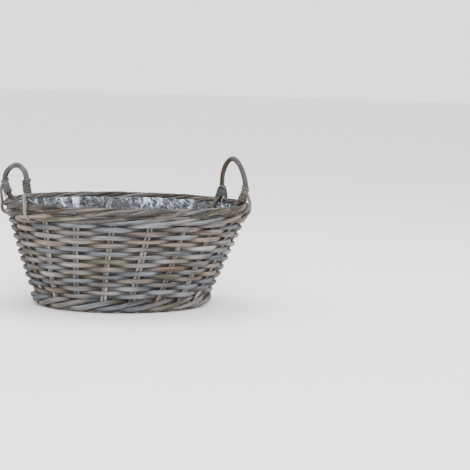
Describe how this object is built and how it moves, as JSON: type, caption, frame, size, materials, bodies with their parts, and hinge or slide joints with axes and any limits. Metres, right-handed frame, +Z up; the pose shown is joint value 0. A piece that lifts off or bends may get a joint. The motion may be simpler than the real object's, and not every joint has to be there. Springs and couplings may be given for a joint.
{
  "type": "oval willow basket",
  "caption": "Oval stake-and-strand willow basket that flares to a rolled rim, with a bow handle at each end and a clear film liner.",
  "frame": {"origin": "on the floor, under the centre of the rim", "axes": "+Z up; +X along the basket's length, towards the taller handle"},
  "size_m": [0.38, 0.3, 0.2215],
  "materials": {
    "willow_stakes": "weathered grey-washed willow, matt",
    "willow_weavers": "weathered grey-washed willow, matt, mixed grey and tan",
    "willow_wales": "weathered grey-washed willow, matt",
    "willow_base": "weathered willow, matt",
    "willow_handles": "peeled, grey-washed willow rod, smooth matt",
    "willow_bindings": "split willow skein, matt",
    "clear_film": "thin clear crinkled film, glossy"
  },
  "bodies": {
    "root": {"stake_pair_01": "willow_stakes", "stake_pair_02": "willow_stakes", "stake_pair_03": "willow_stakes", "stake_pair_04": "willow_stakes", "stake_pair_05": "willow_stakes", "stake_pair_06": "willow_stakes", "stake_pair_07": "willow_stakes", "stake_pair_08": "willow_stakes", "stake_pair_09": "willow_stakes", "stake_pair_10": "willow_stakes", "stake_pair_11": "willow_stakes", "stake_pair_12": "willow_stakes", "stake_pair_13": "willow_stakes", "stake_pair_14": "willow_stakes", "stake_pair_15": "willow_stakes", "stake_pair_16": "willow_stakes", "stake_pair_17": "willow_stakes", "stake_pair_18": "willow_stakes", "stake_pair_19": "willow_stakes", "stake_pair_20": "willow_stakes", "weaver_row_01": "willow_weavers", "weaver_row_02": "willow_weavers", "weaver_row_03": "willow_weavers", "weaver_row_04": "willow_weavers", "weaver_row_05": "willow_weavers", "weaver_row_06": "willow_weavers", "weaver_row_07": "willow_weavers", "weaver_row_08": "willow_weavers", "weaver_row_09": "willow_weavers", "weaver_row_10": "willow_weavers", "weaver_row_11": "willow_weavers", "weaver_row_12": "willow_weavers", "weaver_row_13": "willow_weavers", "weaver_row_14": "willow_weavers", "weaver_row_15": "willow_weavers", "weaver_row_16": "willow_weavers", "weaver_row_17": "willow_weavers", "weaver_row_18": "willow_weavers", "weaver_row_19": "willow_weavers", "foot_wale_01": "willow_wales", "foot_wale_02": "willow_wales", "foot_wale_03": "willow_wales", "rim_wale_01": "willow_wales", "rim_wale_02": "willow_wales", "rim_wale_03": "willow_wales", "base_long_stick_01": "willow_base", "base_long_stick_02": "willow_base", "base_cross_stick_01": "willow_base", "base_cross_stick_02": "willow_base", "base_cross_stick_03": "willow_base", "base_cross_stick_04": "willow_base", "base_cross_stick_05": "willow_base", "base_mat": "willow_base", "film_liner": "clear_film", "handle_left": "willow_handles", "binding_left_front": "willow_bindings", "binding_left_rear": "willow_bindings", "handle_right": "willow_handles", "binding_right_front": "willow_bindings", "binding_right_rear": "willow_bindings"}
  },
  "joints": []
}
